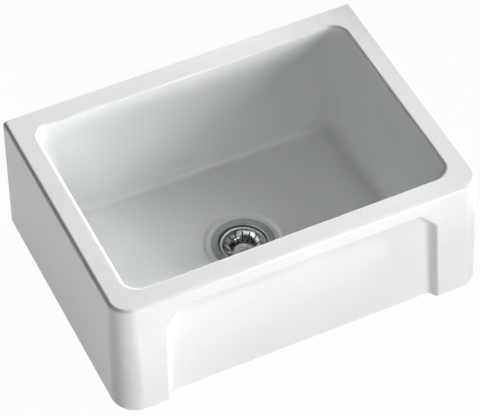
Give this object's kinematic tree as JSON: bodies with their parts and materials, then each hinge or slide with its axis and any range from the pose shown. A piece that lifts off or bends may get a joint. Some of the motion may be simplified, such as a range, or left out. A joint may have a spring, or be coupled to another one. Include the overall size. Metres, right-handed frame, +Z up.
{
  "type": "butler sink",
  "caption": "Deep apron-front butler sink in white glazed ceramic, with a recessed front panel and a lift-out strainer basket in its waste.",
  "frame": {"origin": "on the flat underside that the sink rests on, below the centre of the rim's rectangular outline", "axes": "+X to the right seen from the apron, +Y from the apron to the back, +Z up"},
  "size_m": [0.6124, 0.4462, 0.303],
  "materials": {
    "ceramic": "gloss white glaze",
    "satin_steel": "satin stainless",
    "polished_steel": "polished stainless",
    "rubber": "matt black rubber",
    "body_plastic": "moulded polypropylene",
    "brass": "turned brass",
    "nylon": "natural nylon"
  },
  "bodies": {
    "sink": {"sink_body": "ceramic", "waste_flange": "satin_steel", "flange_gasket": "rubber", "body_gasket": "rubber", "waste_body": "body_plastic", "thread_insert": "brass", "clamp_screw": "satin_steel", "screw_washer": "nylon"},
    "plug": {"basket_post": "satin_steel", "plug_seal": "rubber", "seal_plate": "satin_steel", "seal_washer": "satin_steel", "seal_clip": "satin_steel", "post_ring": "rubber", "pivot_screw": "satin_steel"},
    "basket": {"strainer_basket": "polished_steel", "basket_knob": "polished_steel"}
  },
  "joints": [
    {"name": "basket_lift", "type": "slide", "parent": "sink", "child": "plug", "axis": [0, 0, 1], "range_m": [0, 0.26]},
    {"name": "basket_turn", "type": "hinge", "parent": "plug", "child": "basket", "pos_m": [0, -0.0035, 0.002], "axis": [0, 0, 1], "continuous": true}
  ]
}
